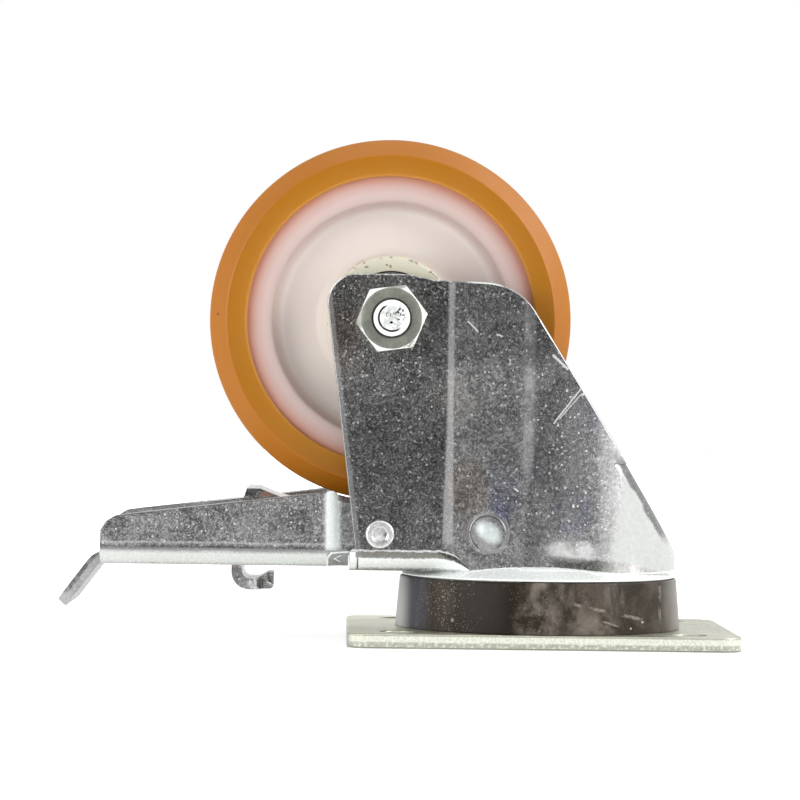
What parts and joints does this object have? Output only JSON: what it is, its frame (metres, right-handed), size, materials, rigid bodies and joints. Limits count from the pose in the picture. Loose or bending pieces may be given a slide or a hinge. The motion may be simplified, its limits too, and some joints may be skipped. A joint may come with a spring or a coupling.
{
  "type": "swivel castor",
  "caption": "Swivel castor with a plate mounting, ball-bearing swivel head, polyurethane-tyred wheel in a pressed steel fork and a foot brake pedal, standing on its plate.",
  "frame": {"origin": "on the swivel axis, in the mounting face of the top plate, at the centre of its bolt holes", "axes": "+Z out of the plate towards the wheel, along the swivel axis; +X from the wheel towards the nose of the fork; the axle lies along Y and the nut is on the -Y side"},
  "size_m": [0.1863, 0.08, 0.139],
  "materials": {
    "zinc_fork": "bright zinc plated, lightly scratched",
    "zinc_plate": "bright zinc plated with a faint yellow-green cast",
    "zinc_brake": "bright zinc plated",
    "zinc_fastener": "bright zinc plated, polished by turning",
    "spring_steel": "smooth",
    "bearing_steel": "polished",
    "seal_rubber": "satin",
    "dust_ring_plastic": "satin, smeared with grease",
    "polyurethane": "satin, slightly translucent",
    "white_polyamide": "satin"
  },
  "bodies": {
    "base": {"top_plate": "zinc_plate", "kingpin": "zinc_fastener", "kingpin_sleeve": "zinc_fastener", "kingpin_nut": "zinc_fastener", "retaining_cup": "zinc_fork", "seal_ring": "dust_ring_plastic", "main_balls": "bearing_steel", "upper_balls": "bearing_steel"},
    "swivel_fork": {"fork": "zinc_fork", "axle_bolt": "zinc_fastener", "axle_nut": "zinc_fastener", "centre_tube": "zinc_fastener", "axle_spacer_near": "zinc_fastener", "axle_spacer_far": "zinc_fastener", "bearing_inner_near": "bearing_steel", "bearing_inner_far": "bearing_steel", "brake_pin": "zinc_fastener", "pivot_sleeve": "zinc_fastener"},
    "wheel": {"wheel_centre": "white_polyamide", "tread": "polyurethane", "bearing_outer_near": "bearing_steel", "bearing_outer_far": "bearing_steel", "bearing_seal_near": "seal_rubber", "bearing_seal_far": "seal_rubber", "bearing_balls_near": "bearing_steel", "bearing_balls_far": "bearing_steel"},
    "brake": {"brake_pedal": "zinc_brake", "brake_shoe": "zinc_brake", "shoe_rivets": "zinc_fastener", "detent_leaf": "spring_steel"}
  },
  "joints": [
    {"name": "swivel", "type": "hinge", "parent": "base", "child": "swivel_fork", "pos_m": [0, 0, 0.02], "axis": [0, 0, 1], "continuous": true},
    {"name": "wheel_spin", "type": "hinge", "parent": "swivel_fork", "child": "wheel", "pos_m": [-0.0425, 0, 0.089], "axis": [0, 1, 0], "continuous": true},
    {"name": "brake_pedal_lift", "type": "hinge", "parent": "swivel_fork", "child": "brake", "pos_m": [-0.0448, 0, 0.0302], "axis": [0, 1, 0], "range_deg": [0, 14]}
  ]
}
